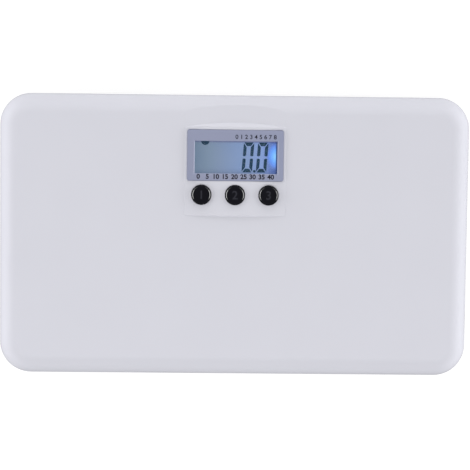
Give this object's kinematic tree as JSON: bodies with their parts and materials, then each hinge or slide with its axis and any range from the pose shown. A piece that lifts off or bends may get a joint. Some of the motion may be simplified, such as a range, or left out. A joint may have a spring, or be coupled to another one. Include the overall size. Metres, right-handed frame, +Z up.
{
  "type": "digital baby weighing scale",
  "caption": "Flat digital baby scale: white moulded platform on load-cell feet, with a small backlit display, round push buttons near the back edge and a hinged battery door underneath.",
  "frame": {"origin": "on the surface the scale stands on, under the middle of the platform", "axes": "+X to the right of a person reading the display, +Y towards the back edge that the display is near, +Z up"},
  "size_m": [0.33, 0.1972, 0.0341],
  "materials": {
    "white_gloss": "smooth satin white",
    "white_matte": "fine spark texture",
    "silver_bezel": "lavender grey, satin",
    "clear_window": "polished clear plastic",
    "lcd_cell": "blue backlit liquid crystal cell",
    "black_button": "high gloss black",
    "foot_plastic": "moulded grey white",
    "pad_rubber": "soft dark rubber",
    "cell_steel": "plated stamping",
    "gauge_resin": "white silicone over the gauge",
    "screw_steel": "zinc plated",
    "contact_metal": "nickel plated spring strip",
    "battery_jacket": "plain dark sleeve",
    "board_green": "green solder mask",
    "chip_black": "moulded epoxy",
    "plug_nylon": "natural nylon",
    "switch_body": "black moulding",
    "plunger_white": "white moulding",
    "wire_jacket": "soft coloured insulation",
    "zebra_rubber": "layered silicone strip",
    "guide_clear": "clear acrylic",
    "lamp_white": "white lamp body"
  },
  "bodies": {
    "housing": {"platform_cover": "white_gloss", "base_tray": "white_matte", "display_frame": "silver_bezel", "display_lens": "clear_window", "lcd_panel": "lcd_cell", "lcd_holder": "white_matte", "zebra_strips": "zebra_rubber", "backlight_guide": "guide_clear", "backlight_led": "lamp_white", "main_board": "board_green", "processor_chip": "chip_black", "board_resistors": "chip_black", "board_plugs": "plug_nylon", "housing_screws": "screw_steel", "battery_plates": "contact_metal", "battery_springs": "contact_metal", "lead_battery_plus": "wire_jacket", "lead_battery_minus": "wire_jacket", "foot_cups": "foot_plastic", "foot_pads": "pad_rubber", "switch_left": "switch_body", "switch_middle": "switch_body", "switch_right": "switch_body", "load_cell_front_left": "cell_steel", "load_cell_front_right": "cell_steel", "load_cell_back_left": "cell_steel", "load_cell_back_right": "cell_steel", "strain_gauge_front_left": "gauge_resin", "strain_gauge_front_right": "gauge_resin", "strain_gauge_back_left": "gauge_resin", "strain_gauge_back_right": "gauge_resin", "cell_retainer_front_left": "white_matte", "cell_retainer_front_right": "white_matte", "cell_retainer_back_left": "white_matte", "cell_retainer_back_right": "white_matte", "lead_front_left": "wire_jacket", "lead_front_right": "wire_jacket", "lead_back_left": "wire_jacket", "lead_back_right": "wire_jacket", "battery_1": "battery_jacket", "battery_2": "battery_jacket", "battery_3": "battery_jacket"},
    "left_button": {"button_left": "black_button", "switch_plunger_left": "plunger_white"},
    "middle_button": {"button_middle": "black_button", "switch_plunger_middle": "plunger_white"},
    "right_button": {"button_right": "black_button", "switch_plunger_right": "plunger_white"},
    "door": {"battery_door": "white_matte"}
  },
  "joints": [
    {"name": "press_left", "type": "slide", "parent": "housing", "child": "left_button", "axis": [0, 0, -1], "range_m": [0, 0.0007], "stiffness_N_per_m": 2000},
    {"name": "press_middle", "type": "slide", "parent": "housing", "child": "middle_button", "axis": [0, 0, -1], "range_m": [0, 0.0007], "stiffness_N_per_m": 2000},
    {"name": "press_right", "type": "slide", "parent": "housing", "child": "right_button", "axis": [0, 0, -1], "range_m": [0, 0.0007], "stiffness_N_per_m": 2000},
    {"name": "door_swing", "type": "hinge", "parent": "housing", "child": "door", "pos_m": [0, -0.0211, 0.006], "axis": [1, 0, 0], "range_deg": [0, 80]}
  ]
}
